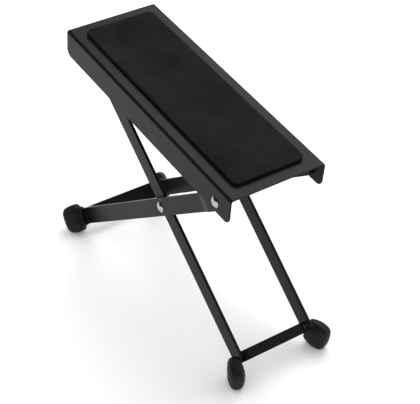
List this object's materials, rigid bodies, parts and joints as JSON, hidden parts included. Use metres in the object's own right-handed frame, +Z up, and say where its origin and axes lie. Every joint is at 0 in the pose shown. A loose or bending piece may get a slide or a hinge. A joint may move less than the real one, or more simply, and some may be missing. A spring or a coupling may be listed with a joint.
{
  "type": "folding guitar footrest",
  "caption": "Folding steel footrest: a sloping platform with a rubber mat on a scissor of flat bars with rubber boots, set by a rod in notched racks.",
  "frame": {"origin": "on the floor under the middle of the whole footrest's box, at rest", "axes": "+Z up, +X towards the platform's low end and the long legs' feet, -Y the near side"},
  "size_m": [0.3426, 0.141, 0.2648],
  "materials": {
    "black_satin_paint": "satin black powder paint",
    "mat_rubber": "matt black mat",
    "boot_rubber": "black moulded rubber",
    "bright_zinc": "bright zinc plate",
    "washer_plastic": "black nylon"
  },
  "bodies": {
    "arm_frame": {"arm_far": "black_satin_paint", "arm_near": "black_satin_paint", "crossing_rivet_far": "bright_zinc", "crossing_rivet_near": "bright_zinc", "crossing_washer_far": "washer_plastic", "crossing_washer_near": "washer_plastic", "rear_boot_far": "boot_rubber", "rear_boot_near": "boot_rubber", "rear_crossbar": "black_satin_paint"},
    "leg_frame": {"front_boot_far": "boot_rubber", "front_boot_near": "boot_rubber", "front_crossbar": "black_satin_paint", "latch_rod": "bright_zinc", "leg_far": "black_satin_paint", "leg_near": "black_satin_paint"},
    "platform": {"pivot_rivet_far": "bright_zinc", "pivot_rivet_near": "bright_zinc", "pivot_washer_far": "washer_plastic", "pivot_washer_near": "washer_plastic", "platform_plate": "black_satin_paint", "rack_far": "black_satin_paint", "rack_near": "black_satin_paint", "rubber_mat": "mat_rubber"}
  },
  "joints": [
    {"name": "leg_fold", "type": "hinge", "parent": "arm_frame", "child": "leg_frame", "pos_m": [0.02038, 0, 0.13556], "axis": [0, -1, 0], "range_deg": [0, 74.8]},
    {"name": "platform_fold", "type": "hinge", "parent": "arm_frame", "child": "platform", "pos_m": [0.12598, 0, 0.2079], "axis": [0, -1, 0], "range_deg": [0, 41.94]}
  ],
  "couplings": [
    {"joint": "platform_fold", "follows": "leg_fold", "ratio": 0.56004}
  ]
}
